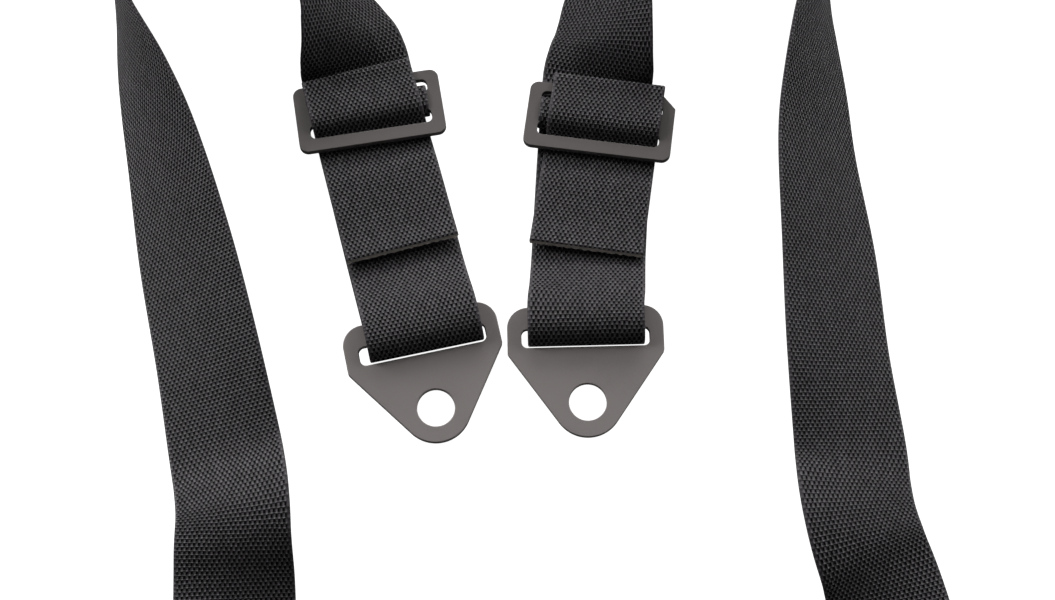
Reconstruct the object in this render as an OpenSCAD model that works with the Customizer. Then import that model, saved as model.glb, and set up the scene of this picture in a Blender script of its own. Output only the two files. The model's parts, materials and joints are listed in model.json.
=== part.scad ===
// Four-point racing harness with a rotary cam-lock buckle, laid out flat.
// Origin: centre of the buckle's back face. +Y runs from the belly towards the head end.

/* [Webbing] */
// Thickness of the webbing
web_t = 1.5; // [1.2:0.1:1.6]
// Length of the folded-back tail on the shoulder straps, from the slide's edge
shoulder_tail = 54; // [40:1:56]

/* [Three-bar slides] */
// Width across the strap
slide_w = 66; // [64:1:70]
// Thickness of the slide's steel
slide_t = 3; // [2.5:0.1:3]
// Corner radius of the slide
slide_corner_r = 4; // [2:0.5:5]

/* [Anchor plates] */
// Width across the shoulders of the plate
plate_w = 67; // [65:1:72]
// Thickness of the plate's steel
plate_t = 3; // [2.5:0.1:3]
// Radius of the anchor bolt hole
bolt_hole_r = 8; // [6:0.25:8.5]
// Radius of the rounded tip around the bolt hole
plate_tip_r = 15; // [13:0.5:16]
// Distance from the webbing bar's middle to the bolt hole's centre
hole_drop = 37; // [34:0.5:40]

/* [Buckle] */
// Outer radius of the buckle housing
buckle_r = 36; // [36:0.5:38]
// Radius of the release dial
dial_r = 30; // [27:0.5:31]
// Angle of the lap tongues below the horizontal
lap_drop_angle = 50; // [49:1:51]
// Angle of the shoulder tongues from the head-end direction
shoulder_angle = 25; // [25:1:26]

/* [Hidden] */
$fn = 48;
web_w = 50;
flat_z = web_t / 2;                  // centre height of webbing that lies flat

// Anchor plate
bar_h = 9.8;                         // height of the bar that carries the webbing
slot_h = 8;
slot_l = 54.8;
slot_corner_r = 2.5;
plate_slot_y = -bar_h / 2 - slot_h / 2;
loop_r = 6.35;                       // centre line of the webbing above and below the bar
loop_reach = 11.6;                   // and how far it hangs loose on the plate's side
bar_z = flat_z + loop_r;
plate_corner_r = 9;
plate_side_r = 3;
plate_side_y = -14.5;
plate_tilt = 6;                      // the tip rests on the floor, the bar sits in its loop

// Slide
slide_h = 32;
slide_low_bar = 6;
slide_slot = 6.5;
slide_mid_bar = 8.5;
slide_z = 4;                         // underside of the slide's frame
fold_r = 2.6;                        // centre line of the fold round the top bar
fold_z = slide_z + slide_t / 2;
fold_y = slide_h / 2 + 2.5;          // it hangs loose beyond the bar
slide_clip = 6;                      // one slide has a clipped corner
under_z = fold_z - fold_r;           // layer below the frame
front_end = 52;                      // the front layer stops this far below the slide's middle

// Buckle heights
pad_t = 3;
floor_top = 8.2;
tongue_z = 8.5;
tongue_t = 2.5;
latch_z = 11.5;
latch_t = 2.5;
pin_head_z = 15.5;
pin_lift = 4.2;
housing_top = 24;
cover_t = 2.5;
dial_z = 27;
pin_r = 4.4;
pin_at = 24;                         // radius of the lock pins' circle
shaft_r = 5;
running = 0.05;
SCREW_ANGLES = [0, 90, 180, 270];
screw_at = buckle_r - 4.5;

// Tongue angles, counter-clockwise from +X
lap_right_at = -lap_drop_angle;
lap_left_at = 180 + lap_drop_angle;
shoulder_left_at = 90 + shoulder_angle;
shoulder_right_at = 90 - shoulder_angle;
RELEASABLE = [lap_right_at, shoulder_right_at, shoulder_left_at];

// Strap ends: [bar x, bar y, plate angle, slide x, slide y, slide angle, tail length, tail angle,
//     strap's shift along the plate's bar, tail's shift in the slide, strap's shift under the slide]
LAP_LEFT_END = [-25.7, -457.4, 12.5, -50, -354.5, 9.5, 53, 15.2, 1.5, -1.5, -1.2];
LAP_RIGHT_END = [45.6, -454, 1.5, 53.4, -359.6, -7.5, 46.5, -8.1, 0.3, 1.9, -1.9];
SHOULDER_LEFT_END = [-98, -733, 0, -98, -627, 0, shoulder_tail, 0, 0, 0, 0];
SHOULDER_RIGHT_END = [204, -729, 13, 180, -626, 13, shoulder_tail, 13, 0, 0, 0];

// Stations of the free runs, from the slide to the buckle: [x, y, gap under the lower edge, bank]
LAP_LEFT_RUN = [
    [-58.5, -326, 0.1, -14], [-60.5, -318, 0.1, -30], [-63.5, -309, 0.1, -42], [-67, -300, 0.1, -51],
    [-74, -280, 0.1, -63], [-81, -250, 0.1, -72], [-88, -215, 0.7, -75], [-93, -180, 0.1, -66],
    [-96, -150, 0.1, -46], [-94, -125, 0.1, -20], [-88, -108, 0.7, -4]];
LAP_RIGHT_RUN = [
    [54, -330, 0.1, 10], [55, -322, 0.1, 24], [56, -312, 0.1, 32], [57, -302, 0.1, 37],
    [60, -285, 0.1, 46], [66, -255, 0.4, 58], [76, -220, 0.5, 68], [86, -185, 0.2, 64],
    [93.5, -152, 0.1, 46], [94, -125, 0.1, 20], [88, -108, 0.7, 4]];
SHOULDER_LEFT_RUN = [
    [-98, -597, 0.1, 0], [-98.5, -580, 0.4, 0], [-99, -566, 2, 4], [-99.5, -553, 4.9, 10],
    [-100, -540, 5.7, 14], [-102, -527, 3.9, 13.4], [-106, -510, 0.7, 13], [-115.3, -470, 0.5, 21.5],
    [-127, -425, 0.9, 30], [-139, -380, 0.7, 44.4], [-148.8, -350, 0.7, 57.5], [-160, -319, 0.9, 75],
    [-166.5, -290, 0.1, 84], [-171, -240, 0.1, 90], [-172, -180, 0.1, 90], [-172, -120, 0.1, 90],
    [-173, -60, 0.1, 90], [-176, 0, 0.1, 90], [-179, 60, 0.1, 90], [-181, 120, 0.1, 90],
    [-182, 170, 0.1, 90], [-182, 208, 0.1, 90], [-176, 230, 0.1, 90], [-162, 245, 0.1, 89],
    [-142, 250, 0.1, 87], [-123, 244, 0.1, 82], [-109, 230, 1, 72], [-99, 211, 1.4, 56],
    [-90, 192, 1.7, 36], [-81, 173, 2.4, 16], [-73, 156, 2.1, 3]];
SHOULDER_RIGHT_RUN = [
    [173, -597, 0.2, 0], [169, -580, 0.6, 0], [165.2, -566, 1.1, -6], [160.7, -553, 3.6, -10.9],
    [157.8, -540, 3.2, -14], [156.5, -527, 2.3, -13.7], [156, -510, 0.9, -13], [153, -470, 0.7, -21.5],
    [151.5, -425, 0.5, -28], [148.4, -380, 0.9, -38.5], [149, -350, 0.8, -48], [150.7, -319, 1.1, -62],
    [155, -290, 0.1, -77], [161, -240, 0.1, -90], [164, -180, 0.1, -90], [166, -120, 0.1, -90],
    [169, -60, 0.1, -90], [174, 0, 0.1, -90], [178, 60, 0.1, -90], [181, 120, 0.1, -90],
    [182, 170, 0.1, -90], [182, 208, 0.1, -90], [176, 230, 0.1, -90], [162, 245, 0.1, -89],
    [142, 250, 0.1, -87], [123, 244, 0.1, -82], [109, 230, 1, -72], [99, 211, 1.4, -56],
    [90, 192, 1.7, -36], [81, 173, 2.4, -16], [73, 156, 2.1, -3]];

// ---- Paths and ribbons ----

function unit(v) = v / norm(v);
function turned(v, a) = [v.x * cos(a) - v.y * sin(a), v.x * sin(a) + v.y * cos(a), v.z];
function mix(a, b, f) = a + (b - a) * min(1, max(0, f));

// A point of a Catmull-Rom curve through the stations p, a fraction f past station i
function between(p, i, f) =
    let (a = p[max(i - 1, 0)], b = p[i], c = p[i + 1], d = p[min(i + 2, len(p) - 1)])
    0.5 * (2 * b + (c - a) * f + (2 * a - 5 * b + 4 * c - d) * f * f
        + (3 * b - a - 3 * c + d) * f * f * f);
function smooth(p, steps) =
    [for (i = [0 : len(p) - 2], k = [0 : steps - 1]) between(p, i, k / steps), p[len(p) - 1]];

// Direction of travel at point i of a list of centres
function heading(c, i) = unit(c[min(i + 1, len(c) - 1)] - c[max(i - 1, 0)]);

// Each station of a ribbon is [centre, direction across it]
function banked(p) =
    let (c = [for (s = p) [s[0], s[1], s[2] + (web_w * abs(sin(s[3])) + web_t * cos(s[3])) / 2]])
    [for (i = [0 : len(p) - 1])
        let (t = heading(c, i), flat = unit([t.y, -t.x, 0]), up = cross(flat, t))
        [c[i], flat * cos(p[i][3]) + up * sin(p[i][3])]];

module ribbon(stations) {
    centres = [for (s = stations) s[0]];
    last = len(stations) - 1;
    points = [for (i = [0 : last])
        let (t = heading(centres, i),
             across = unit(stations[i][1] - t * (stations[i][1] * t)),
             w = across * web_w / 2,
             h = cross(across, t) * web_t / 2,
             c = centres[i])
        each [c - w - h, c + w - h, c + w + h, c - w + h]];
    // Both broad faces are split along the same diagonal, so that they stay apart where the strap twists
    sides = [for (i = [0 : last - 1], k = [0 : 3])
        let (a = 4 * i + k, b = 4 * i + (k + 1) % 4)
        each k == 2 ? [[a, b, a + 4], [b, b + 4, a + 4]] : [[a, b, b + 4], [a, b + 4, a + 4]]];
    end = 4 * last;
    caps = [[2, 1, 0], [3, 2, 0], [end, end + 1, end + 2], [end, end + 2, end + 3]];
    polyhedron(points, concat(caps, sides));
}

// Loop of webbing round a bar at (0, z): from the lower layer round to the upper one, as [y, z]
function bar_loop(z, r, side, reach) =
    [for (a = [-90 : 20 : 90]) [-side * reach * cos(a), z + r * sin(a)]];

// ---- Strap end: loop in the anchor plate, then under the slide ----

// The webbing's middle at the plate's bar and at the slide
function bar_point(e) = [e[0], e[1], 0] + turned([e[8], 0, 0], e[2]);
function slide_point(e) = [e[3], e[4], 0] + turned([e[10], 0, 0], e[5]);

// A point y along the strap from the plate's bar and z up, turning from the plate's angle to the slide's
function end_station(e, y, z) =
    let (bar = bar_point(e), slide = slide_point(e), run = norm(slide - bar), dir = unit(slide - bar),
         start = turned([0, 1, 0], e[2]), bend = max(0, y),
         angle = mix(e[2], e[5], (y - 20) / (run - 50)))
    [bar + [0, 0, z] + (y < 12 ? start * y + (dir - start) * bend * bend / 12 : dir * y),
     turned([1, 0, 0], angle)];

// From the hidden end of the front layer, round the bar, and up to just past the slide
function end_stations(e) =
    let (run = norm(slide_point(e) - bar_point(e)), top = bar_z + loop_r, rest = 2 * web_t - flat_z + 0.5,
         front = [[run - front_end, rest], [42, rest + 0.05], [36, rest + 0.2], [30, rest + 0.9],
             [24, rest + 2.5], [18, rest + 5.2], [12, rest + 8.2], [6, top - 0.6]],
         loop = bar_loop(bar_z, loop_r, 1, loop_reach),
         back = [for (i = [1 : 4]) [i * run / 4, flat_z]])
    [for (q = front) end_station(e, q[0], q[1]),
     for (i = [len(loop) - 1 : -1 : 0]) end_station(e, loop[i][0], loop[i][1]),
     for (q = back) end_station(e, q[0], q[1]),
     end_station(e, run + 24, flat_z)];

// ---- Upper ends, in a frame whose +Y points at the buckle's centre ----

function tongue_station(at, y, z) = [turned([0, y, z], at + 90), turned([1, 0, 0], at + 90)];

lap_bar_y = -75;
lap_loop_r = 4.35;
lap_loop_z = tongue_z + tongue_t / 2;
// Main layer towards the buckle, round the tongue's bar, and the sewn-down layer back on top
function lap_top(at) =
    [for (q = [[-128, 2], [-114, 2.2], [-100, 2.7], [-88, 3.9], [-80, 5]]) tongue_station(at, q[0], q[1]),
     for (q = bar_loop(lap_loop_z, lap_loop_r, -1, lap_loop_r)) tongue_station(at, lap_bar_y + q[0], q[1]),
     for (q = [[-80, 13.3], [-88, 9.9], [-96, 6.6], [-104, 4.9], [-112, 4.3], [-127, 4.2]])
         tongue_station(at, q[0], q[1])];

grip_y = -80;                        // knurled bar of the adjuster
grip_r = 4;
cross_y = -100;                      // fixed crossbar of the adjuster
cross_r = 3;
wrap_y = grip_y + 2.4;
wrap_r = 5.35;
wrap_z = 17.5;
cross_z = 16.4;
// Load layer under both bars, round the knurled bar, and the free tail back on top
function shoulder_top(at) =
    [for (q = [[-166, 2.4], [-159, 2.6], [-151, 3.1], [-142, 4.1], [-133, 5.9], [-125, 8], [-117, 10.3],
               [-108, 11.9], [-100, 12.15], [-88, 12.15]]) tongue_station(at, q[0], q[1]),
     for (q = bar_loop(wrap_z, wrap_r, -1, wrap_r)) tongue_station(at, wrap_y + q[0], q[1]),
     for (q = [[-84, 22.8], [-92, 22.1], [-100, 20.8], [-108, 18.4], [-117, 15], [-126, 11.8], [-135, 9],
               [-144, 7.2], [-152, 6.5], [-162, 6.4]]) tongue_station(at, q[0], q[1])];

// ---- Straps ----

module lap_strap_left() {
    color([0.13, 0.13, 0.14])
        ribbon(concat(end_stations(LAP_LEFT_END), banked(smooth(LAP_LEFT_RUN, 3)), lap_top(lap_left_at)));
}
module lap_strap_right() {
    color([0.13, 0.13, 0.14])
        ribbon(concat(end_stations(LAP_RIGHT_END), banked(smooth(LAP_RIGHT_RUN, 3)), lap_top(lap_right_at)));
}
module shoulder_strap_left() {
    color([0.13, 0.13, 0.14])
        ribbon(concat(end_stations(SHOULDER_LEFT_END), banked(smooth(SHOULDER_LEFT_RUN, 3)),
            shoulder_top(shoulder_left_at)));
}
module shoulder_strap_right() {
    color([0.13, 0.13, 0.14])
        ribbon(concat(end_stations(SHOULDER_RIGHT_END), banked(smooth(SHOULDER_RIGHT_RUN, 3)),
            shoulder_top(shoulder_right_at)));
}

// ---- Folded-back webbing in the slide, in the slide's own frame ----

function tail_path(tail) =
    let (top = fold_z + fold_r, rest = 4.75, stop = -slide_h / 2 - tail)
    [[8, under_z], [12, under_z],
     for (a = [-90 : 22.5 : 90]) [fold_y + fold_r * cos(a), fold_z + fold_r * sin(a)],
     [12, top + 0.25], [6, top + 0.9], [1, top + 1.3], [-2.5, top + 0.9], [-4.8, 7.9], [-6.1, 6.4],
     [-7.1, 4.9], [-8.6, 3.5], [-10.6, under_z + 0.05], [-13, under_z], [-19, under_z],
     [-25, 3.6], [-32, rest], [stop + 14, rest + 0.3], [stop + 6, rest + 1.3], [stop, rest + 2.4]];
// The webbing lies a little askew in the slide, but square to the slot it passes through
module tail_piece(e) {
    askew = e[7] - e[5];
    stations = [for (q = tail_path(e[6]))
        [[e[9] - q[0] * tan(askew), q[0], q[1]],
         turned([1, 0, 0], askew * min(1, 0.3 + abs(q[0] + 7) / 20))]];
    color([0.14, 0.14, 0.15]) translate([e[3], e[4], 0]) rotate([0, 0, e[5]]) ribbon(stations);
}
module lap_tail_left() { tail_piece(LAP_LEFT_END); }
module lap_tail_right() { tail_piece(LAP_RIGHT_END); }
module shoulder_tail_left() { tail_piece(SHOULDER_LEFT_END); }
module shoulder_tail_right() { tail_piece(SHOULDER_RIGHT_END); }

// ---- Slides ----

// Rectangle with round corners, centred on the origin
module rounded_rect(w, h, r) {
    x = w / 2 - r;
    y = h / 2 - r;
    polygon([[x, h / 2], [w / 2, y], [w / 2, -y], [x, -h / 2], [-x, -h / 2], [-w / 2, -y], [-w / 2, y],
             [-x, h / 2]]);
    for (i = [-1, 1], k = [-1, 1]) translate([i * x, k * y]) circle(r = r);
}
// Slot through anything up to depth thick
module round_slot(l, h, depth) {
    translate([0, 0, -1]) linear_extrude(depth + 2) rounded_rect(l, h, slot_corner_r);
}
module rounded_bar(w, h, r, t) {
    translate([-w / 2 + r, -h / 2, 0]) cube([w - 2 * r, h, t]);
    translate([-w / 2, -h / 2 + r, 0]) cube([w, h - 2 * r, t]);
    for (x = [-1, 1], y = [-1, 1])
        translate([x * (w / 2 - r), y * (h / 2 - r), 0]) cylinder(r = r, h = t);
}
module slide_frame(e, clip = 0) {
    low_y = -slide_h / 2 + slide_low_bar + slide_slot / 2;
    high_y = low_y + slide_slot + slide_mid_bar;
    color([0.28, 0.27, 0.27]) translate([e[3], e[4], slide_z]) rotate([0, 0, e[5]]) difference() {
        rounded_bar(slide_w, slide_h, slide_corner_r, slide_t);
        for (y = [low_y, high_y]) translate([0, y, 0]) round_slot(slot_l, slide_slot, slide_t);
        if (clip > 0) translate([slide_w / 2, slide_h / 2, -1]) rotate([0, 0, 45])
            translate([-clip / sqrt(2), -20, 0]) cube([clip * sqrt(2), 40, slide_t + 2]);
    }
}
module lap_slide_left() { slide_frame(LAP_LEFT_END); }
module lap_slide_right() { slide_frame(LAP_RIGHT_END, slide_clip); }
module shoulder_slide_left() { slide_frame(SHOULDER_LEFT_END); }
module shoulder_slide_right() { slide_frame(SHOULDER_RIGHT_END); }

// ---- Anchor plates ----

module plate_outline() {
    tip = [0, -hole_drop];
    side = [plate_w / 2 - plate_side_r, plate_side_y];
    corner = [plate_w / 2 - plate_corner_r, bar_h / 2 - plate_corner_r];
    // Direction square to the line that touches the tip's circle and the side's
    away = side - tip;
    a = atan2(away.y, away.x) - acos((plate_tip_r - plate_side_r) / norm(away));
    n = [cos(a), sin(a)];
    right = [tip + plate_tip_r * n, side + plate_side_r * n, side + [plate_side_r, 0],
             corner + [plate_corner_r, 0], corner + [0, plate_corner_r]];
    left = [for (i = [len(right) - 1 : -1 : 0]) [-right[i].x, right[i].y]];
    polygon(concat(right, left));
    translate(tip) circle(r = plate_tip_r);
    for (s = [-1, 1]) {
        translate([s * side.x, side.y]) circle(r = plate_side_r);
        translate([s * corner.x, corner.y]) circle(r = plate_corner_r);
    }
}
module anchor_plate(e) {
    color([0.42, 0.4, 0.39]) translate([e[0], e[1], bar_z]) rotate([0, 0, e[2]]) rotate([plate_tilt, 0, 0])
        translate([0, 0, -plate_t / 2]) difference() {
            linear_extrude(plate_t) plate_outline();
            translate([0, plate_slot_y, 0]) round_slot(slot_l, slot_h, plate_t);
            translate([0, -hole_drop, -1]) cylinder(r = bolt_hole_r, h = plate_t + 2, $fn = 96);
        }
}
module lap_plate_left() { anchor_plate(LAP_LEFT_END); }
module lap_plate_right() { anchor_plate(LAP_RIGHT_END); }
module shoulder_plate_left() { anchor_plate(SHOULDER_LEFT_END); }
module shoulder_plate_right() { anchor_plate(SHOULDER_RIGHT_END); }

// ---- Tongues, in a frame whose +Y points at the buckle's centre ----

module towards_buckle(at) { rotate([0, 0, at + 90]) children(); }

tip_r = 9;
module tongue_blank(wide, wide_from, wide_to) {
    neck = 9;
    union() {
        translate([0, -pin_at, 0]) cylinder(r = tip_r, h = tongue_t);
        linear_extrude(tongue_t)
            polygon([[neck, -pin_at - 1], [neck, -46], [wide / 2, wide_from], [wide / 2, wide_to],
                     [-wide / 2, wide_to], [-wide / 2, wide_from], [-neck, -46], [-neck, -pin_at - 1]]);
    }
}
module lap_tongue(at, hole_r) {
    color([0.34, 0.33, 0.33]) towards_buckle(at) translate([0, 0, tongue_z]) difference() {
        tongue_blank(62, -54, -78);
        translate([0, lap_bar_y + 3 + 4, 0]) round_slot(slot_l, 8, tongue_t);
        translate([0, -pin_at, -1]) cylinder(r = hole_r, h = tongue_t + 2);
    }
}
module lap_tongue_left() { lap_tongue(lap_left_at, 4); }
module lap_tongue_right() { lap_tongue(lap_right_at, pin_r + 0.4); }

cheek_t = 2.5;
cheek_x = 29.5;
cheek_top = 25;
module shoulder_tongue(at) {
    color([0.34, 0.33, 0.33]) towards_buckle(at) difference() {
        union() {
            translate([0, 0, tongue_z]) tongue_blank(64, -72, -106);
            for (s = [-1, 1])
                translate([s * (cheek_x + cheek_t / 2) - cheek_t / 2, -106, tongue_z + tongue_t - 0.5])
                    cube([cheek_t, 34, cheek_top - tongue_z - tongue_t + 0.5]);
        }
        translate([0, -pin_at, tongue_z - 1]) cylinder(r = pin_r + 0.4, h = tongue_t + 2);
        // The knurled bar's ends slide in these
        for (y = [0, 2]) translate([-50, grip_y + y, wrap_z]) rotate([0, 90, 0])
            cylinder(r = 2.55, h = 100);
        translate([-50, grip_y, wrap_z - 2.55]) cube([100, 2, 5.1]);
        translate([-50, cross_y, cross_z]) rotate([0, 90, 0]) cylinder(r = 2, h = 100);
    }
}
module shoulder_tongue_left() { shoulder_tongue(shoulder_left_at); }
module shoulder_tongue_right() { shoulder_tongue(shoulder_right_at); }

module adjuster_bar(at) {
    color([0.3, 0.3, 0.3]) towards_buckle(at) translate([0, grip_y, wrap_z]) rotate([0, 90, 0]) {
        translate([0, 0, -cheek_x + 0.5]) cylinder(r = grip_r, h = 2 * cheek_x - 1);
        translate([0, 0, -cheek_x - cheek_t - 1]) cylinder(r = 2.5, h = 2 * (cheek_x + cheek_t + 1));
    }
}
module adjuster_bar_left() { adjuster_bar(shoulder_left_at); }
module adjuster_bar_right() { adjuster_bar(shoulder_right_at); }

module adjuster_crossbar(at) {
    color([0.3, 0.3, 0.3]) towards_buckle(at) translate([0, cross_y, cross_z]) rotate([0, 90, 0]) {
        translate([0, 0, -cheek_x]) cylinder(r = cross_r, h = 2 * cheek_x);
        translate([0, 0, -cheek_x - cheek_t - 0.8]) cylinder(r = 2, h = 2 * (cheek_x + cheek_t + 0.8));
    }
}
module adjuster_crossbar_left() { adjuster_crossbar(shoulder_left_at); }
module adjuster_crossbar_right() { adjuster_crossbar(shoulder_right_at); }

// ---- Buckle ----

module back_pad() {
    color([0.08, 0.08, 0.08]) cylinder(r = buckle_r + 3, h = pad_t, $fn = 96);
}

module buckle_floor() {
    difference() {
        translate([0, 0, pad_t]) cylinder(r = buckle_r, h = floor_top - pad_t, $fn = 96);
        // Blind bores: the spindle's journal, the lock pins' tips and the fixed tongue's rivet
        translate([0, 0, 4.2]) cylinder(r = 4 + running, h = 5);
        for (a = RELEASABLE) rotate([0, 0, a]) translate([pin_at, 0, 6.5]) cylinder(r = pin_r + 0.4, h = 5);
        rotate([0, 0, lap_left_at]) translate([pin_at, 0, 5]) cylinder(r = 4, h = 5);
    }
}
module buckle_wall() {
    wall = 3;
    difference() {
        union() {
            translate([0, 0, floor_top]) difference() {
                cylinder(r = buckle_r, h = housing_top - floor_top, $fn = 96);
                translate([0, 0, -1]) cylinder(r = buckle_r - wall, h = housing_top, $fn = 96);
            }
            for (a = SCREW_ANGLES) rotate([0, 0, a]) translate([screw_at, 0, floor_top])
                cylinder(r = 3.2, h = housing_top - floor_top);
        }
        for (a = [lap_left_at, lap_right_at, shoulder_left_at, shoulder_right_at]) rotate([0, 0, a])
            translate([0, -tip_r - 0.5, floor_top - 1])
                cube([buckle_r + 5, 2 * tip_r + 1, latch_z - floor_top + 1]);
        for (a = SCREW_ANGLES) rotate([0, 0, a]) translate([screw_at, 0, housing_top - 8])
            cylinder(r = 1.5, h = 10);
    }
}
module buckle_base() {
    color([0.2, 0.2, 0.21]) union() {
        buckle_floor();
        buckle_wall();
    }
}

module latch_plate() {
    color([0.5, 0.5, 0.5]) difference() {
        translate([0, 0, latch_z]) cylinder(r = buckle_r - 3.3, h = latch_t, $fn = 96);
        for (a = SCREW_ANGLES) rotate([0, 0, a]) translate([screw_at, 0, latch_z - 1])
            cylinder(r = 3.6, h = latch_t + 2);
        translate([0, 0, latch_z - 1]) cylinder(r = shaft_r + 0.5, h = latch_t + 2);
        for (a = RELEASABLE) rotate([0, 0, a]) translate([pin_at, 0, latch_z - 1])
            cylinder(r = pin_r + running, h = latch_t + 2);
        rotate([0, 0, lap_left_at]) translate([pin_at, 0, latch_z - 1]) cylinder(r = 4, h = latch_t + 2);
    }
}

module buckle_cover() {
    color([0.24, 0.24, 0.25]) difference() {
        translate([0, 0, housing_top]) cylinder(r = buckle_r, h = cover_t, $fn = 96);
        translate([0, 0, housing_top - 1]) cylinder(r = shaft_r + running, h = cover_t + 2);
        for (a = SCREW_ANGLES) rotate([0, 0, a]) translate([screw_at, 0, housing_top - 1])
            cylinder(r = 1.5, h = cover_t + 2);
    }
}

module cover_screws() {
    color([0.4, 0.4, 0.4]) for (a = SCREW_ANGLES) rotate([0, 0, a]) translate([screw_at, 0, 0]) {
        translate([0, 0, housing_top - 7]) cylinder(r = 1.5, h = 7 + cover_t);
        translate([0, 0, housing_top + cover_t]) difference() {
            cylinder(r = 2.8, h = 0.4);
            translate([0, 0, 0.2]) cylinder(r = 1.3, h = 1, $fn = 6);
        }
    }
}

module spindle() {
    color([0.6, 0.6, 0.6]) {
        translate([0, 0, 4.5]) cylinder(r = 4, h = 4);
        translate([0, 0, floor_top + 0.3]) cylinder(r = shaft_r, h = dial_z + 5 - floor_top - 0.3);
    }
}

// Five-step ramps that pass under the lock pins' heads as the dial turns
module cam_ring() {
    steps = 5;
    step_angle = 4.2;
    reach = 12.6;
    cam_z = 14.4;
    inner = 11;
    outer = pin_at - pin_r - 0.3;
    color([0.55, 0.5, 0.4]) difference() {
        union() {
            translate([0, 0, cam_z]) cylinder(r = 13, h = 4.2);
            for (a = RELEASABLE, i = [0 : steps - 1]) translate([0, 0, cam_z]) {
                angles = [for (k = [steps : -1 : i]) a - reach - step_angle * k];
                rim = [for (q = angles) outer * [cos(q), sin(q)]];
                root = [for (k = [len(angles) - 1 : -1 : 0]) inner * [cos(angles[k]), sin(angles[k])]];
                linear_extrude(pin_head_z - 0.3 - cam_z + pin_lift * i / steps)
                    polygon(concat(rim, root));
            }
        }
        cylinder(r = shaft_r, h = 40);
    }
}

// Flat spiral that turns the dial back
module return_spring() {
    turns = 2.5;
    inner = 6.2;
    pitch = 2.8;
    wire = 0.8;
    spiral = [for (a = [0 : 15 : 360 * turns]) [cos(a), sin(a)] * (inner + pitch * a / 360)];
    outer = [for (a = [360 * turns : -15 : 0]) [cos(a), sin(a)] * (inner + wire + pitch * a / 360)];
    color([0.7, 0.7, 0.7]) translate([0, 0, 19.4]) linear_extrude(2) polygon(concat(outer, spiral));
}

module release_dial() {
    lobes = 3;
    color([0.2, 0.2, 0.21]) difference() {
        union() {
            translate([0, 0, dial_z]) cylinder(r = dial_r, h = 3, $fn = 96);
            difference() {
                translate([0, 0, dial_z + 2]) cylinder(r = dial_r - 1.5, h = 8, $fn = 96);
                for (i = [0 : lobes - 1]) rotate([0, 0, 90 + i * 360 / lobes])
                    translate([dial_r + 8, 0, dial_z + 3]) cylinder(r = 20, h = 10, $fn = 96);
            }
        }
        translate([0, 0, dial_z - 1]) cylinder(r = shaft_r, h = 6);
        translate([0, 0, dial_z + 8.5]) cylinder(r = 9, h = 5);
    }
}

module dial_cap() {
    color([0.35, 0.35, 0.35]) translate([0, 0, dial_z + 8.5]) cylinder(r = 9, h = 2.2);
}

module fixed_tongue_rivet() {
    color([0.5, 0.5, 0.5]) rotate([0, 0, lap_left_at]) translate([pin_at, 0, 5]) {
        cylinder(r = 4, h = latch_z + latch_t - 5);
        translate([0, 0, latch_z + latch_t - 5]) cylinder(r = 6, h = 1.5);
    }
}

module lock_pin(at) {
    color([0.65, 0.65, 0.65]) rotate([0, 0, at]) translate([pin_at, 0, 0]) {
        translate([0, 0, 7]) cylinder(r = pin_r, h = pin_head_z - 7);
        translate([0, 0, pin_head_z]) cylinder(r = 6.4, h = 1.5);
        translate([0, 0, pin_head_z + 1.5]) cylinder(r = 2, h = 2);
    }
}
module lap_pin() { lock_pin(lap_right_at); }
module shoulder_pin_right() { lock_pin(shoulder_right_at); }
module shoulder_pin_left() { lock_pin(shoulder_left_at); }

// Coil of round wire between the pin's head and the cover
module pin_spring(at) {
    turns = 3;
    wire = 0.4;
    coil_r = 3.4;
    low = pin_head_z + 1.5 + wire + 0.05;
    high = housing_top - wire - 0.05;
    steps = 12 * turns;
    sides = 6;
    points = [for (i = [0 : steps], k = [0 : sides - 1])
        let (a = 360 * turns * i / steps, b = 360 * k / sides, r = coil_r + wire * cos(b))
        [r * cos(a), r * sin(a), low + (high - low) * i / steps + wire * sin(b)]];
    walls = [for (i = [0 : steps - 1], k = [0 : sides - 1])
        let (a = sides * i + k, b = sides * i + (k + 1) % sides)
        each [[a, b, b + sides], [a, b + sides, a + sides]]];
    end = sides * steps;
    caps = [[for (k = [sides - 1 : -1 : 0]) k], [for (k = [0 : sides - 1]) end + k]];
    color([0.7, 0.7, 0.7]) rotate([0, 0, at]) translate([pin_at, 0, 0])
        polyhedron(points, concat(caps, walls));
}
module lap_pin_spring() { pin_spring(lap_right_at); }
module shoulder_pin_spring_right() { pin_spring(shoulder_right_at); }
module shoulder_pin_spring_left() { pin_spring(shoulder_left_at); }

back_pad();
buckle_base();
latch_plate();
buckle_cover();
cover_screws();
spindle();
cam_ring();
return_spring();
release_dial();
dial_cap();
fixed_tongue_rivet();
lap_pin();
shoulder_pin_right();
shoulder_pin_left();
lap_pin_spring();
shoulder_pin_spring_right();
shoulder_pin_spring_left();
lap_tongue_left();
lap_tongue_right();
shoulder_tongue_left();
shoulder_tongue_right();
adjuster_bar_left();
adjuster_bar_right();
adjuster_crossbar_left();
adjuster_crossbar_right();
lap_strap_left();
lap_strap_right();
shoulder_strap_left();
shoulder_strap_right();
lap_slide_left();
lap_slide_right();
shoulder_slide_left();
shoulder_slide_right();
lap_tail_left();
lap_tail_right();
shoulder_tail_left();
shoulder_tail_right();
lap_plate_left();
lap_plate_right();
shoulder_plate_left();
shoulder_plate_right();
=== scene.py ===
"""Looks of the four-point racing harness: webbing, fittings, stitching, floor, lights and camera."""

import json
import math
import random

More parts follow.
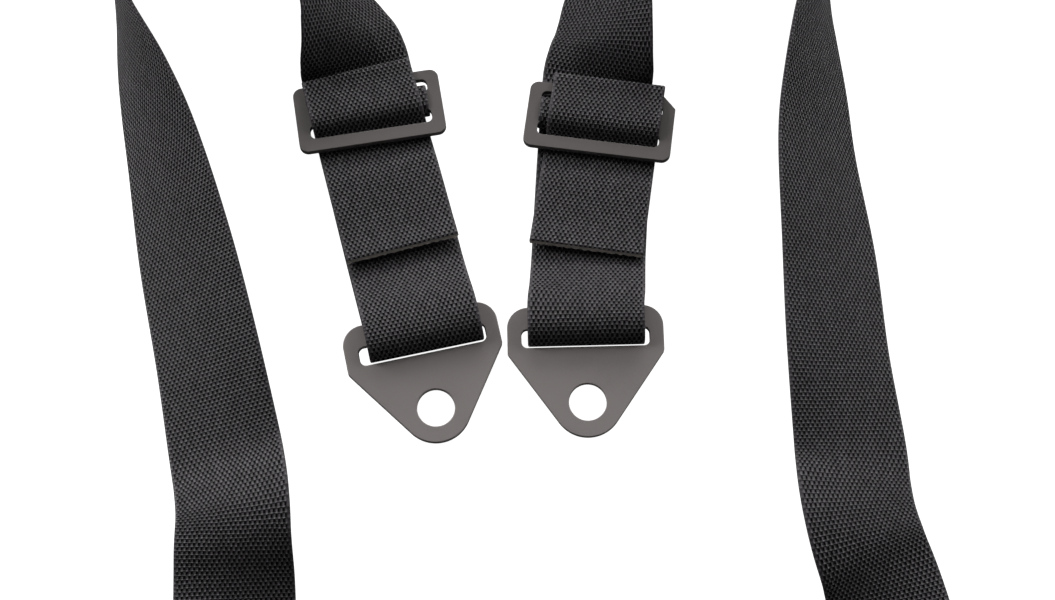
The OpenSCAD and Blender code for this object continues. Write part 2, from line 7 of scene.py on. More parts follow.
import bpy
import numpy as np
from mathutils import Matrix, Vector


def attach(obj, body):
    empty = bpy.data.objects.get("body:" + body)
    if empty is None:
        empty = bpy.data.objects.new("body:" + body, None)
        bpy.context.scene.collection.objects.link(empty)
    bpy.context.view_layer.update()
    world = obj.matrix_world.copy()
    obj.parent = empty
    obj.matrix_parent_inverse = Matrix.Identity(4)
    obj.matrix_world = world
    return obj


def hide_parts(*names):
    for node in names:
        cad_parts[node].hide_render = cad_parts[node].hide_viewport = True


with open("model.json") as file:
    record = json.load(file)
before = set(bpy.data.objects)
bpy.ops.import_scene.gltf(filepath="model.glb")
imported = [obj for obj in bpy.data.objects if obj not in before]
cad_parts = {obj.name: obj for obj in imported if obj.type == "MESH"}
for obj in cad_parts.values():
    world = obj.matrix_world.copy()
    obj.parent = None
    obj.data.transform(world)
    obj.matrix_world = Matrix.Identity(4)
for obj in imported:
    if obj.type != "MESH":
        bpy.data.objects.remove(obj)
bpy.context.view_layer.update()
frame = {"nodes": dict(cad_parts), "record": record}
MM = 0.001

# ---- Driving dimensions of the webbing, in millimetres, as in the design ----

WEB_W, WEB_T = 50.0, 1.5
FLAT_Z = WEB_T / 2
LOOP_R = 6.35
LOOP_REACH = 11.6
BAR_Z = FLAT_Z + LOOP_R
FOLD_R = 2.6
SLIDE_H, SLIDE_T, SLIDE_Z = 32.0, 3.0, 4.0
FOLD_Z = SLIDE_Z + SLIDE_T / 2
UNDER_Z = FOLD_Z - FOLD_R
FOLD_OUT = 2.5
FRONT_END = 52.0
STRAP_STEP, TAIL_STEP = 2.5, 1.5
# Height and radius of the lap straps' loop round a tongue's bar, and the bar's distance from the centre
LAP_LOOP_Z, LAP_LOOP_R, LAP_BAR_Y = 9.75, 4.35, -75
# The same for the shoulder straps' loop round an adjuster's knurled bar
WRAP_Z, WRAP_R, WRAP_Y = 17.5, 5.35, -77.6

# Strap ends: bar x, bar y, plate angle, slide x, slide y, slide angle, tail length, tail angle,
# strap's shift along the plate's bar, tail's shift in the slide, strap's shift under the slide
ENDS = {
    "lap_left": (-25.7, -457.4, 12.5, -50, -354.5, 9.5, 53, 15.2, 1.5, -1.5, -1.2),
    "lap_right": (45.6, -454, 1.5, 53.4, -359.6, -7.5, 46.5, -8.1, 0.3, 1.9, -1.9),
    "shoulder_left": (-98, -733, 0, -98, -627, 0, 54, 0, 0, 0, 0),
    "shoulder_right": (204, -729, 13, 180, -626, 13, 54, 13, 0, 0, 0),
}
# Stations of the free runs, from the slide to the buckle: x, y, gap under the lower edge, bank
RUNS = {
    "lap_left": [
        (-58.5, -326, 0.1, -14), (-60.5, -318, 0.1, -30), (-63.5, -309, 0.1, -42),
        (-67, -300, 0.1, -51), (-74, -280, 0.1, -63), (-81, -250, 0.1, -72), (-88, -215, 0.7, -75),
        (-93, -180, 0.1, -66), (-96, -150, 0.1, -46), (-94, -125, 0.1, -20), (-88, -108, 0.7, -4)],
    "lap_right": [
        (54, -330, 0.1, 10), (55, -322, 0.1, 24), (56, -312, 0.1, 32), (57, -302, 0.1, 37),
        (60, -285, 0.1, 46), (66, -255, 0.4, 58), (76, -220, 0.5, 68), (86, -185, 0.2, 64),
        (93.5, -152, 0.1, 46), (94, -125, 0.1, 20), (88, -108, 0.7, 4)],
    "shoulder_left": [
        (-98, -597, 0.1, 0), (-98.5, -580, 0.4, 0), (-99, -566, 2, 4), (-99.5, -553, 4.9, 10),
        (-100, -540, 5.7, 14), (-102, -527, 3.9, 13.4), (-106, -510, 0.7, 13),
        (-115.3, -470, 0.5, 21.5), (-127, -425, 0.9, 30), (-139, -380, 0.7, 44.4),
        (-148.8, -350, 0.7, 57.5), (-160, -319, 0.9, 75), (-166.5, -290, 0.1, 84),
        (-171, -240, 0.1, 90), (-172, -180, 0.1, 90), (-172, -120, 0.1, 90), (-173, -60, 0.1, 90),
        (-176, 0, 0.1, 90), (-179, 60, 0.1, 90), (-181, 120, 0.1, 90), (-182, 170, 0.1, 90),
        (-182, 208, 0.1, 90), (-176, 230, 0.1, 90), (-162, 245, 0.1, 89), (-142, 250, 0.1, 87),
        (-123, 244, 0.1, 82), (-109, 230, 1, 72), (-99, 211, 1.4, 56), (-90, 192, 1.7, 36),
        (-81, 173, 2.4, 16), (-73, 156, 2.1, 3)],
    "shoulder_right": [
        (173, -597, 0.2, 0), (169, -580, 0.6, 0), (165.2, -566, 1.1, -6),
        (160.7, -553, 3.6, -10.9), (157.8, -540, 3.2, -14), (156.5, -527, 2.3, -13.7),
        (156, -510, 0.9, -13), (153, -470, 0.7, -21.5), (151.5, -425, 0.5, -28),
        (148.4, -380, 0.9, -38.5), (149, -350, 0.8, -48), (150.7, -319, 1.1, -62),
        (155, -290, 0.1, -77), (161, -240, 0.1, -90), (164, -180, 0.1, -90), (166, -120, 0.1, -90),
        (169, -60, 0.1, -90), (174, 0, 0.1, -90), (178, 60, 0.1, -90), (181, 120, 0.1, -90),
        (182, 170, 0.1, -90), (182, 208, 0.1, -90), (176, 230, 0.1, -90), (162, 245, 0.1, -89),
        (142, 250, 0.1, -87), (123, 244, 0.1, -82), (109, 230, 1, -72), (99, 211, 1.4, -56),
        (90, 192, 1.7, -36), (81, 173, 2.4, -16), (73, 156, 2.1, -3)],
}
# Direction of each tongue from the buckle's centre, in degrees
TONGUE_AT = {"lap_left": 230, "lap_right": 310, "shoulder_left": 115, "shoulder_right": 65}

# ---- Camera ----

CAMERA_UP = math.radians(69)
CAMERA_AWAY = 0.803
LENS, SENSOR = 63, 36
AIM = Vector((0.021, -0.443, 0))


def add_object(name, data):
    made = bpy.data.objects.new(name, data)
    bpy.context.scene.collection.objects.link(made)
    return made


def make_camera():
    camera = add_object("camera", bpy.data.cameras.new("camera"))
    away = Vector((0, -math.cos(CAMERA_UP), math.sin(CAMERA_UP))) * CAMERA_AWAY
    camera.location = AIM + away
    camera.rotation_euler = (math.pi / 2 - CAMERA_UP, 0, 0)
    camera.data.lens = LENS
    camera.data.sensor_width = SENSOR
    bpy.context.scene.camera = camera


make_camera()

# ---- Paths ----


def unit(v):
    return v / np.linalg.norm(v)


def turned(v, degrees):
    a = math.radians(degrees)
    c, s = math.cos(a), math.sin(a)
    return np.array([v[0] * c - v[1] * s, v[0] * s + v[1] * c, v[2]], float)


def curve(points, steps):
    """A Catmull-Rom curve through the points, with so many steps between two of them."""
    p = np.array(points, float)
    out = []
    for i in range(len(p) - 1):
        a, b, c, d = p[max(i - 1, 0)], p[i], p[i + 1], p[min(i + 2, len(p) - 1)]
        for f in np.linspace(0, 1, steps, endpoint=False):
            out.append(
                0.5 * (2 * b + (c - a) * f + (2 * a - 5 * b + 4 * c - d) * f**2
                       + (3 * b - a - 3 * c + d) * f**3)
            )
    return np.array(out + [p[-1]])


def headings(centres):
    t = np.gradient(centres, axis=0)
    return t / np.linalg.norm(t, axis=1)[:, None]


def banked(run):
    """Centres and across directions of a free run."""
    s = curve(run, 8)
    bank = np.radians(s[:, 3])
    s[:, 2] += (WEB_W * abs(np.sin(bank)) + WEB_T * np.cos(bank)) / 2
    t = headings(s[:, :3])
    flat = np.stack([t[:, 1], -t[:, 0], 0 * t[:, 0]], 1)
    flat /= np.linalg.norm(flat, axis=1)[:, None]
    bank = bank[:, None]
    return list(zip(s[:, :3], flat * np.cos(bank) + np.cross(flat, t) * np.sin(bank)))


def bar_loop(z, r, side, reach):
    """Round a bar at (0, z) as (y, z), from the lower layer to the upper one."""
    angles = np.radians(np.arange(-90, 91, 10))
    return [(-side * reach * math.cos(a), z + r * math.sin(a)) for a in angles]


def bar_point(end):
    return np.array([end[0], end[1], 0.0]) + turned((end[8], 0, 0), end[2])


def slide_point(end):
    return np.array([end[3], end[4], 0.0]) + turned((end[10], 0, 0), end[5])


def end_station(end, y, z):
    """A station y along the strap from the plate's bar; it turns from the plate's angle to the slide's."""
    bar, slide = bar_point(end), slide_point(end)
    run, along = np.linalg.norm(slide - bar), unit(slide - bar)
    share = min(1, max(0, (y - 20) / (run - 50)))
    start, bend = turned((0, 1, 0), end[2]), max(0, y)
    way = start * y + (along - start) * bend * bend / 12 if y < 12 else along * y
    return bar + np.array([0, 0, z]) + way, turned((1, 0, 0), end[2] + (end[5] - end[2]) * share)


def end_stations(end):
    """From the hidden end of the front layer, round the plate's bar, and up to just past the slide."""
    run = np.linalg.norm(slide_point(end) - bar_point(end))
    top, rest = BAR_Z + LOOP_R, 2 * WEB_T - FLAT_Z + 0.5
    front = [(run - FRONT_END, rest), (42, rest + 0.05), (36, rest + 0.2), (30, rest + 0.9),
             (24, rest + 2.5), (18, rest + 5.2), (12, rest + 8.2), (6, top - 0.6)]
    loop = bar_loop(BAR_Z, LOOP_R, 1, LOOP_REACH)[::-1]
    back = [(i * run / 4, FLAT_Z) for i in range(1, 5)] + [(run + 24, FLAT_Z)]
    front = [tuple(q) for q in curve(front + [loop[0]], 4)[:-1]]
    return [end_station(end, y, z) for y, z in front + loop + back]


def tongue_station(at, y, z):
    return turned((0, y, z), at + 90), turned((1, 0, 0), at + 90)


def lap_top(at):
    """Main layer towards the buckle, round the tongue's bar, and the sewn-down layer back on top."""
    below = [(-128, 2), (-114, 2.2), (-100, 2.7), (-88, 3.9), (-80, 5)]
    loop = [(LAP_BAR_Y + y, z) for y, z in bar_loop(LAP_LOOP_Z, LAP_LOOP_R, -1, LAP_LOOP_R)]
    above = [(-80, 13.3), (-88, 9.9), (-96, 6.6), (-104, 4.9), (-112, 4.3), (-127, 4.2)]
    path = list(curve(below, 4)) + loop + list(curve(above, 4))
    return [tongue_station(at, y, z) for y, z in path]


def shoulder_top(at):
    """Load layer under both adjuster bars, round the knurled one, and the free tail back on top."""
    below = [(-166, 2.4), (-159, 2.6), (-151, 3.1), (-142, 4.1), (-133, 5.9), (-125, 8),
             (-117, 10.3), (-108, 11.9), (-100, 12.15), (-88, 12.15)]
    loop = [(WRAP_Y + y, z) for y, z in bar_loop(WRAP_Z, WRAP_R, -1, WRAP_R)]
    above = [(-84, 22.8), (-92, 22.1), (-100, 20.8), (-108, 18.4), (-117, 15), (-126, 11.8),
             (-135, 9), (-144, 7.2), (-152, 6.5), (-162, 6.4)]
    path = list(curve(below, 4)) + loop + list(curve(above, 4))
    return [tongue_station(at, y, z) for y, z in path]


def strap_stations(name):
    top = lap_top if name.startswith("lap") else shoulder_top
    return end_stations(ENDS[name]) + banked(RUNS[name]) + top(TONGUE_AT[name])


def in_slide(end, y, z):
    """A station in the slide: the webbing lies a little askew, but square to the slot."""
    askew = end[7] - end[5]
    across = turned((1, 0, 0), end[5] + askew * min(1, 0.3 + abs(y + 7) / 20))
    spot = turned((end[9] - y * math.tan(math.radians(askew)), y, z), end[5])
    return np.array([end[3], end[4], 0.0]) + spot, across


def tail_stations(end):
    """Under the slide, round its top bar, over the front, down the lower slot, and the free tail."""
    edge, top, rest = SLIDE_H / 2 + FOLD_OUT, FOLD_Z + FOLD_R, 4.75
    stop = -SLIDE_H / 2 - end[6]
    under = [(8, UNDER_Z), (12, UNDER_Z), (edge - 1, UNDER_Z)]
    fold = [(edge + FOLD_R * math.cos(a), FOLD_Z + FOLD_R * math.sin(a))
            for a in np.radians(np.arange(-90, 91, 15))]
    over = [(12, top + 0.25), (6, top + 1.2), (1, top + 1.6), (-2.5, top + 1), (-4.8, 7.9),
            (-6.1, 6.4), (-7.1, 4.9), (-8.6, 3.5), (-10.6, UNDER_Z + 0.05), (-13, UNDER_Z),
            (-19, UNDER_Z), (-25, 3.6), (-32, rest), (stop + 14, rest + 0.3),
            (stop + 6, rest + 1.3), (stop, rest + 2.4)]
    path = under + fold + [tuple(q) for q in curve([fold[-1]] + over, 4)[1:]]
    return [in_slide(end, y, z) for y, z in path]


def inner_stations(end):
    """The pass of the strap over the middle bar, beneath the folded-back layer."""
    path = [(9.6, 2.9), (8.7, 5), (7.2, 7), (5, 7.9), (1, 7.9), (-1.6, 7.8), (-3, 6.9),
            (-4.3, 5.2), (-5, 3.2)]
    own = end[:7] + (end[5], end[8], -1.25 * end[9]) + end[10:]
    return [in_slide(own, y, z) for y, z in curve(path, 4)]


# ---- Ribbon meshes ----


def resampled(stations, step):
    """The stations at even steps of length, so that the weave runs evenly."""
    centres = np.array([c for c, _ in stations])
    across = np.array([a for _, a in stations])
    gaps = np.linalg.norm(np.diff(centres, axis=0), axis=1)
    at = np.concatenate([[0], np.cumsum(gaps)])
    count = max(4, int(round(at[-1] / step)))
    even = np.linspace(0, at[-1], count + 1)
    c = np.stack([np.interp(even, at, centres[:, k]) for k in range(3)], 1)
    a = np.stack([np.interp(even, at, across[:, k]) for k in range(3)], 1)
    return c, a, even


class Ribbon:
    """A strip of webbing: centres, across and up directions at even steps of its length."""

    def __init__(self, stations, step):
        self.centres, across, self.at = resampled(stations, step)
        t = headings(self.centres)
        across = across - t * np.sum(across * t, 1)[:, None]
        self.across = across / np.linalg.norm(across, axis=1)[:, None]
        self.up = np.cross(self.across, t)
        self.length = self.at[-1]

    def point(self, s, u, out=0.0):
        """A point s along, u across and out of the middle surface, in metres."""
        def mid(rows):
            return np.array([np.interp(s, self.at, rows[:, k]) for k in range(3)])
        return (mid(self.centres) + mid(self.across) * u + mid(self.up) * out) * MM


def cross_section():
    """The ring round a strap's section as (across, up), with rounded selvedges."""
    half, r = WEB_W / 2 - WEB_T / 2, WEB_T / 2
    top = [(x, r) for x in np.linspace(-half, half, 13)]
    right = [(half + r * math.cos(a), r * math.sin(a)) for a in np.radians([60, 30, 0, -30, -60])]
    under = [(-x, -r) for x, _ in top]
    left = [(-x, -y) for x, y in right]
    return np.array(top + right + under + left)


def ribbon_object(name, strip, sealed=(False, False)):
    """A closed ribbon with UVs in metres across and along; sealed ends get the second material."""
    ring = cross_section()
    n, m = len(strip.at), len(ring)
    wave = np.random.default_rng(sum(map(ord, name))).uniform(0, 6.28, 3)
    widths = 1 + 0.006 * np.sin(strip.at / 47 + wave[0]) + 0.004 * np.sin(strip.at / 19 + wave[1])
    verts = (strip.centres[:, None, :]
             + strip.across[:, None, :] * (ring[None, :, 0] * widths[:, None])[:, :, None]
             + strip.up[:, None, :] * ring[None, :, 1][:, :, None]) * MM
    faces = [(i * m + k, (i + 1) * m + k, (i + 1) * m + (k + 1) % m, i * m + (k + 1) % m)
             for i in range(n - 1) for k in range(m)]
    faces += [tuple(range(m)), tuple(range(n * m - 1, (n - 1) * m - 1, -1))]
    mesh = bpy.data.meshes.new(name)
    mesh.from_pydata(verts.reshape(-1, 3).tolist(), [], faces)
    uv = mesh.uv_layers.new(name="weave")
    for poly in mesh.polygons:
        for loop in poly.loop_indices:
            vertex = mesh.loops[loop].vertex_index
            uv.data[loop].uv = (ring[vertex % m, 0] * MM, strip.at[vertex // m] * MM)
        poly.use_smooth = poly.index < len(faces) - 2
    mesh.materials.append(material("webbing"))
    mesh.materials.append(material("sealed_edge_highlight"))
    for end, face in ((0, len(faces) - 2), (1, len(faces) - 1)):
        if sealed[end]:
            mesh.polygons[face].material_index = 1
    return add_object(name, mesh)


def solid(name, verts, faces, kind, body):
    """A smooth closed mesh of one material, on a body."""
    mesh = bpy.data.meshes.new(name)
    mesh.from_pydata([v.tolist() for v in verts], [], faces)
    mesh.shade_smooth()
    mesh.materials.append(material(kind))
    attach(add_object(name, mesh), body)


# ---- Materials ----


class Nodes:
    """Short-hand for building a material's node tree."""

    def __init__(self, name):
        self.made = bpy.data.materials.new(name)
        self.made.use_nodes = True
        self.tree = self.made.node_tree
        self.shader = self.tree.nodes["Principled BSDF"]

    def add(self, kind, **settings):
        made = self.tree.nodes.new(kind)
        for key, value in settings.items():
            setattr(made, key, value)
        return made

    def put(self, value, socket):
        if isinstance(value, bpy.types.NodeSocket):
            self.tree.links.new(value, socket)
        else:
            socket.default_value = value

    def math(self, operation, a, b=0.0, c=0.0):
        made = self.add("ShaderNodeMath", operation=operation)
        for value, socket in zip((a, b, c), made.inputs):
            self.put(value, socket)
        return made.outputs[0]

    def step(self, value, low, high):
        made = self.add("ShaderNodeMapRange", interpolation_type="SMOOTHSTEP")
        for key, given in (("Value", value), ("From Min", low), ("From Max", high)):
            self.put(given, made.inputs[key])
        return made.outputs["Result"]

    def noise(self, scale, detail=2.0, rough=0.5):
        made = self.add("ShaderNodeTexNoise")
        made.inputs["Scale"].default_value = scale
        made.inputs["Detail"].default_value = detail
        made.inputs["Roughness"].default_value = rough
        self.put(self.add("ShaderNodeTexCoord").outputs["Object"], made.inputs["Vector"])
        return made.outputs["Fac"]

    def mix(self, share, a, b):
        made = self.add("ShaderNodeMix", data_type="RGBA")
        for key, value in (("Factor", share), ("A", a), ("B", b)):
            socket = [s for s in made.inputs if s.name == key and s.enabled][0]
            self.put(value, socket)
        return [s for s in made.outputs if s.enabled][0]

    def bump(self, height, distance, strength=1.0, after=None):
        made = self.add("ShaderNodeBump")
        made.inputs["Distance"].default_value = distance
        made.inputs["Strength"].default_value = strength
        self.put(height, made.inputs["Height"])
        if after is not None:
            self.put(after, made.inputs["Normal"])
        return made.outputs["Normal"]

    def set(self, **sockets):
        for key, value in sockets.items():
            self.put(value, self.shader.inputs[key.replace("_", " ")])


YARN = 1.04           # pitch of the warp yarns, mm
PICK = 1.65           # pitch of the weft rows, mm


def webbing_material(m):
    """Plain-woven heavy webbing: floats of the warp in a brick lattice, with painted shade in the gaps
    between them.
    """
    uv = m.add("ShaderNodeUVMap", uv_map="weave").outputs[0]
    split = m.add("ShaderNodeSeparateXYZ")
    m.put(uv, split.inputs[0])
    wobble = m.math("SUBTRACT", m.noise(90, 2), 0.5)
    across = m.math("MULTIPLY", split.outputs[0], 1000)
    along = m.math("MULTIPLY_ADD", split.outputs[1], 1000, m.math("MULTIPLY", wobble, 0.9))
    column = m.math("FLOOR", m.math("DIVIDE", across, YARN))
    in_yarn = m.math("FRACT", m.math("DIVIDE", across, YARN))
    beside = m.math("SUBTRACT", m.math("MULTIPLY", in_yarn, 2), 1)
    odd = m.math("FLOORED_MODULO", column, 2)
    phase = m.math("MULTIPLY", m.math("ADD", m.math("DIVIDE", along, PICK), odd), math.pi)
    swing = m.math("COSINE", phase)
    square = m.math("MULTIPLY", beside, beside)
    above = m.math("MULTIPLY", m.step(swing, -0.15, 0.55), m.math("MULTIPLY_ADD", square, -0.8, 1))
    below = m.math("MULTIPLY", m.step(m.math("MULTIPLY", swing, -1), 0.2, 0.75),
                   m.math("MULTIPLY_ADD", square, -0.55, 1))
    rib = m.step(m.math("ABSOLUTE", swing), 0.0, 0.8)
    weave = m.math("ADD", m.math("MULTIPLY", above, 0.75), m.math("MULTIPLY", rib, 0.25))
    # The selvedge: a tighter, flatter edge
    edge = m.step(m.math("ABSOLUTE", across), 23.3, 23.9)
    ripple = m.math("COSINE", m.math("MULTIPLY", along, 2 * math.pi / PICK))
    edge_rib = m.math("MULTIPLY_ADD", ripple, 0.1, 0.55)
    height = m.math("ADD", m.math("MULTIPLY", weave, m.math("SUBTRACT", 1, edge)),
                    m.math("MULTIPLY", edge_rib, edge))
    # Each float differs a little
    cell = m.add("ShaderNodeCombineXYZ")
    m.put(column, cell.inputs[0])
    m.put(m.math("FLOOR", m.math("DIVIDE", phase, 2 * math.pi)), cell.inputs[1])
    chance = m.add("ShaderNodeTexWhiteNoise", noise_dimensions="3D")
    m.put(cell.outputs[0], chance.inputs["Vector"])
    vary = m.math("MULTIPLY_ADD", chance.outputs["Value"], 0.4, 0.8)
    patch = m.math("MULTIPLY_ADD", m.noise(14, 3), 0.3, 0.85)
    # Painted shade: the colour drops to half off the float crests (tone) and to near black where a yarn
    # dips under (dark). This stands in for the shade in the weave's hollows; vary and patch are the yarns'
    # own random tone.
    tone = m.math("MULTIPLY_ADD", above, 0.5, 0.5)
    dark = m.math("MULTIPLY", below, m.math("SUBTRACT", 1, edge))
    light = m.math("MULTIPLY", m.math("MULTIPLY", tone, m.math("SUBTRACT", 1, dark)),
                   m.math("MULTIPLY", vary, patch))
    colour = m.mix(light, (0.001, 0.001, 0.0012, 1), (0.1, 0.0905, 0.101, 1))
    soft = m.bump(m.noise(2600, 1), 0.00005, 0.5)
    m.set(Base_Color=colour, Roughness=0.5, Specular_IOR_Level=m.math("MULTIPLY", light, 0.55),
          Sheen_Weight=m.math("MULTIPLY", light, 0.5), Sheen_Roughness=0.3,
          Normal=m.bump(height, 0.0006, 1.0, soft))


def sealed_edge_highlight_material(m):
    """Heat-sealed cut end: melted and brownish, and painted lighter as the highlight caught on its bead's
    crest.
    """
    # Painted highlight: a pale colour, up to 0.95, on the black webbing's sealed end, in place of the
    # light that its bead catches.
    colour = m.mix(m.noise(700, 3), (0.5, 0.45, 0.4, 1), (0.95, 0.89, 0.83, 1))
    m.set(Base_Color=colour, Roughness=0.5, Normal=m.bump(m.noise(1500, 2), 0.0002, 0.6))


def metal_material(base, worn, roughness, metallic):
    """Coated steel: fine grain, cloudy tone, and edges where the coat has thinned."""
    def build(m):
        cloud = m.noise(28, 4, rough=0.6)
        speck = m.noise(1400, 2)
        mottle = m.math("ADD", cloud, m.math("MULTIPLY", speck, 0.35))
        tone = m.math("MULTIPLY_ADD", mottle, 0.5, 0.66)
        grey = m.mix(tone, (0, 0, 0, 1), tuple(c * 1.35 for c in base) + (1,))
        bevel = m.add("ShaderNodeBevel", samples=6)
        bevel.inputs["Radius"].default_value = 0.0007
        facing = m.add("ShaderNodeNewGeometry").outputs["Normal"]
        dot = m.add("ShaderNodeVectorMath", operation="DOT_PRODUCT")
        m.put(bevel.outputs[0], dot.inputs[0])
        m.put(facing, dot.inputs[1])
        edge = m.step(m.math("SUBTRACT", 1, dot.outputs["Value"]), 0.02, 0.16)
        scuff = m.math("MULTIPLY", edge, m.step(m.noise(420, 3), 0.35, 0.7))
        m.set(Base_Color=m.mix(scuff, grey, worn + (1,)), Metallic=metallic,
              Roughness=m.math("MULTIPLY_ADD", cloud, 0.16, roughness - 0.08),
              Normal=m.bump(speck, 0.00003, 0.6))
    return build


def plain_material(base, roughness, bump_scale, bump_depth):
    """Rubber or thread: a little mottled, with a fine grain."""
    def build(m):
        grain = m.noise(bump_scale, 3)
        dark = tuple(c * 0.75 for c in base) + (1,)
        m.set(Base_Color=m.mix(m.noise(60, 3), dark, tuple(c * 1.2 for c in base) + (1,)),
              Roughness=roughness, Normal=m.bump(grain, bump_depth, 0.7))
    return build


def floor_material(m):
    """A lit white table that shows no shadows."""
    m.set(Base_Color=(0.8, 0.8, 0.8, 1), Roughness=0.9, Emission_Color=(1, 1, 1, 1),
          Emission_Strength=1.0)


MATERIALS = {
    "webbing": webbing_material,
    "sealed_edge_highlight": sealed_edge_highlight_material,
    "plate_steel": metal_material((0.33, 0.302, 0.295), (0.5, 0.47, 0.46), 0.5, 0.2),
    "slide_steel": metal_material((0.15, 0.138, 0.134), (0.4, 0.37, 0.36), 0.45, 0.2),
    "tongue_steel": metal_material((0.13, 0.125, 0.122), (0.3, 0.29, 0.28), 0.42, 0.7),
    "adjuster_steel": metal_material((0.08, 0.078, 0.078), (0.25, 0.24, 0.24), 0.4, 0.6),
    "housing": metal_material((0.035, 0.035, 0.037), (0.16, 0.16, 0.16), 0.42, 0.4),
    "dial": metal_material((0.045, 0.045, 0.047), (0.2, 0.2, 0.2), 0.36, 0.6),
    "cap": metal_material((0.12, 0.12, 0.12), (0.3, 0.3, 0.3), 0.32, 0.8),
    "mechanism": metal_material((0.42, 0.42, 0.43), (0.6, 0.6, 0.6), 0.3, 1.0),
    "pad": plain_material((0.02, 0.02, 0.021), 0.7, 900, 0.0002),
    "thread": plain_material((0.055, 0.053, 0.055), 0.55, 3000, 0.0001),
    "floor": floor_material,
}
made_materials = {}


def material(name):
    """The material of this name, made when first asked for."""
    if name not in made_materials:
        m = Nodes(name)
        MATERIALS[name](m)
        made_materials[name] = m.made
    return made_materials[name]


# ---- Webbing ----



def webbing_piece(name, strip, body, stands_for=None, sealed=(False, False)):
    """A strip of webbing as a sheet on a body, in place of the CAD node that it stands for."""
    piece = ribbon_object(name, strip, sealed)
    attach(piece, body)
    if stands_for:
        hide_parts(stands_for)


straps, tails = {}, {}
for name, end in ENDS.items():
    kind, side = name.split("_")
    straps[name] = Ribbon(strap_stations(name), STRAP_STEP)
    tails[name] = Ribbon(tail_stations(end), TAIL_STEP)
    inner = Ribbon(inner_stations(end), TAIL_STEP)
    webbing_piece(f"webbing_{name}", straps[name], "harness", f"{kind}_strap_{side}",
                  (True, True))
    webbing_piece(f"folded_tail_{name}", tails[name], f"{name}_slider",
                  f"{kind}_tail_{side}", (False, True))
    webbing_piece(f"inner_pass_{name}", inner, f"{name}_slider")

# ---- Sealed ends: a thin melted bead along each cut, in a pale colour that is its painted highlight ----


def bead(name, strip, body):
    """A wavy bead along the far end of a strip."""
    rng = random.Random(name)
    sides, verts, faces = 8, [], []
    spots = np.linspace(-24.7, 24.7, 90)
    for i, u in enumerate(spots):
        wave = 0.12 * math.sin(i * 0.9) + rng.uniform(-0.12, 0.12)
        r = 0.36 + rng.uniform(-0.08, 0.1)
        middle = strip.point(strip.length, u, 0.72 + wave * 0.5) / MM
        ahead = unit(strip.point(strip.length, u) - strip.point(strip.length - 2, u))
        up = unit(strip.point(strip.length, u, 1) - strip.point(strip.length, u))
        for c in np.radians(np.arange(0, 360, 360 / sides)):
            verts.append((middle + ahead * (wave + r * math.cos(c)) + up * r * math.sin(c)) * MM)
    for i in range(len(spots) - 1):
        for c in range(sides):
            p, q = i * sides + c, i * sides + (c + 1) % sides
            faces.append((p, q, q + sides, p + sides))
    last = (len(spots) - 1) * sides
    faces += [tuple(range(sides - 1, -1, -1)), tuple(last + c for c in range(sides))]
    solid(name, verts, faces, "sealed_edge_highlight", body)


for name in ENDS:
    bead(f"sealed_tail_end_{name}", tails[name], f"{name}_slider")
    bead(f"sealed_top_end_{name}", straps[name], "harness")

# ---- Fittings ----

SLOT_OF = {row["node"]: row["material_slot"] for row in frame["record"]["subparts"]}
# Rounding of each kind's edges, in millimetres
BEVELS = {"plate_steel": 0.45, "slide_steel": 0.6, "tongue_steel": 0.4, "adjuster_steel": 0.3,
          "housing": 0.6, "dial": 0.7, "cap": 0.5, "pad": 0.8, "mechanism": 0.15}


def finish_metal(node, kind):
    """Welds a CAD node's seams, merges its flat facets, rounds its edges and gives it its material."""
    mesh = node.data
    if "custom_normal" in mesh.attributes:
        mesh.attributes.remove(mesh.attributes["custom_normal"])
    mesh.shade_smooth()
    weld = node.modifiers.new("weld", "WELD")
    weld.merge_threshold = 1e-6
    merge = node.modifiers.new("merge", "DECIMATE")
    merge.decimate_type = "DISSOLVE"
    merge.angle_limit = math.radians(0.5)
    bevel = node.modifiers.new("round", "BEVEL")
    bevel.width = BEVELS[kind] * MM
    bevel.segments = 3
    bevel.limit_method = "ANGLE"
    bevel.angle_limit = math.radians(35)
    flat = node.modifiers.new("flat", "WEIGHTED_NORMAL")
    flat.keep_sharp = True
    mesh.materials.clear()
    mesh.materials.append(material(kind))


for name, node in frame["nodes"].items():
    if SLOT_OF[name] != "webbing":
        finish_metal(node, SLOT_OF[name])

# ---- Stitching ----


STITCH, STITCH_GAP, THREAD_R = 2.6, 0.7, 0.35
# How far along a stitch each ring lies, and its share of the thread's radius
STITCH_RINGS = ((0, 0.15), (0.15, 0.9), (0.5, 1.1), (0.85, 0.9), (1, 0.15))


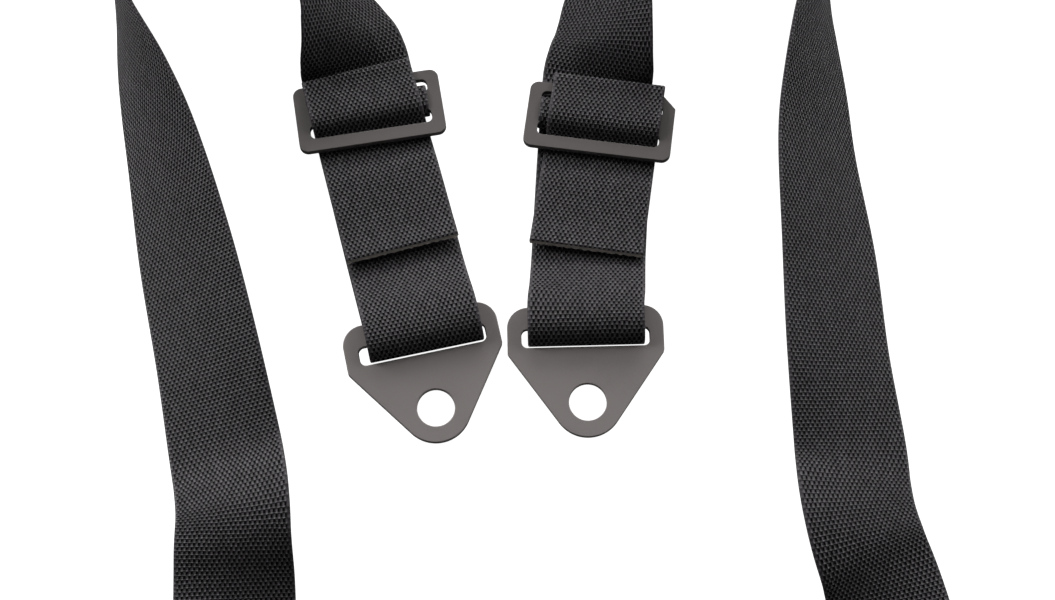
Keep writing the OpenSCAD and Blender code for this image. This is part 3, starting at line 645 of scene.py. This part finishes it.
def stitching(name, seams, strip):
    """Stitches along each seam, a list of (along, across) corners, lying on the strip's surface."""
    verts, faces = [], []
    out, pitch = WEB_T / 2 + 0.1, STITCH + STITCH_GAP
    for seam in seams:
        for (s0, u0), (s1, u1) in zip(seam, seam[1:]):
            count = max(1, int(math.hypot(s1 - s0, u1 - u0) / pitch))
            for i in range(count):
                a, b = i / count, (i + 1) / count - STITCH_GAP / (count * pitch)
                ends = [strip.point(s0 + (s1 - s0) * f, u0 + (u1 - u0) * f, out) for f in (a, b)]
                up = unit(strip.point(s0, u0, out + 1) - strip.point(s0, u0, out))
                ahead = unit(ends[1] - ends[0])
                beside = np.cross(ahead, up)
                base = len(verts)
                for f, k in STITCH_RINGS:
                    middle = ends[0] + (ends[1] - ends[0]) * f
                    for c in np.radians(np.arange(0, 360, 60)):
                        round_it = beside * math.cos(c) + up * math.sin(c)
                        verts.append(middle + round_it * THREAD_R * k * MM)
                for row in range(4):
                    for c in range(6):
                        p, q = base + row * 6 + c, base + row * 6 + (c + 1) % 6
                        faces.append((p, q, q + 6, p + 6))
                faces += [tuple(base + c for c in range(5, -1, -1)),
                          tuple(base + 24 + c for c in range(6))]
    solid(f"stitching_{name}", verts, faces, "thread", "harness")


def box_seam(s0, s1, u):
    """A box with its two diagonals."""
    return [[(s0, -u), (s1, -u), (s1, u), (s0, u), (s0, -u)],
            [(s0, -u), (s1, u)], [(s0, u), (s1, -u)]]


for name, strip in straps.items():
    end = strip.length
    if name.startswith("lap"):
        stitching(name, box_seam(end - 38, end - 6, 19), strip)
    else:
        stitching(name, [[(end - a, -21), (end - a, 21)] for a in (4, 8, 20)], strip)

# ---- Floor and lights ----


def make_floor():
    mesh = bpy.data.meshes.new("floor")
    side = 4
    corners = [(-side, -side, 0), (side, -side, 0), (side, side, 0), (-side, side, 0)]
    mesh.from_pydata(corners, [], [(0, 1, 2, 3)])
    mesh.materials.append(material("floor"))
    floor = add_object("floor", mesh)
    floor.location.z = -0.0003
    # Its light and its mirror image stay off the harness
    floor.visible_diffuse = False
    floor.visible_glossy = False


def area_light(name, place, size, power):
    """A rectangular lamp turned to what the camera looks at."""
    lamp = bpy.data.lights.new(name, "AREA")
    lamp.shape = "RECTANGLE"
    lamp.size, lamp.size_y = size
    lamp.energy = power
    holder = add_object(name, lamp)
    holder.location = place
    holder.rotation_euler = (AIM - Vector(place)).to_track_quat("-Z", "Y").to_euler()


make_floor()
area_light("back_light", (0.1, 1.43, 0.68), (2.4, 0.5), 27)
area_light("left_light", (-1.3, 0.35, 0.5), (0.6, 1.1), 22)
area_light("right_light", (1.3, 0.35, 0.5), (0.6, 1.1), 12)

world = bpy.data.worlds.new("studio")
bpy.context.scene.world = world
world.use_nodes = True
sky = world.node_tree.nodes["Background"]
sky.inputs["Color"].default_value = (1, 1, 1, 1)
sky.inputs["Strength"].default_value = 0.055
bpy.context.scene.view_settings.view_transform = "Standard"
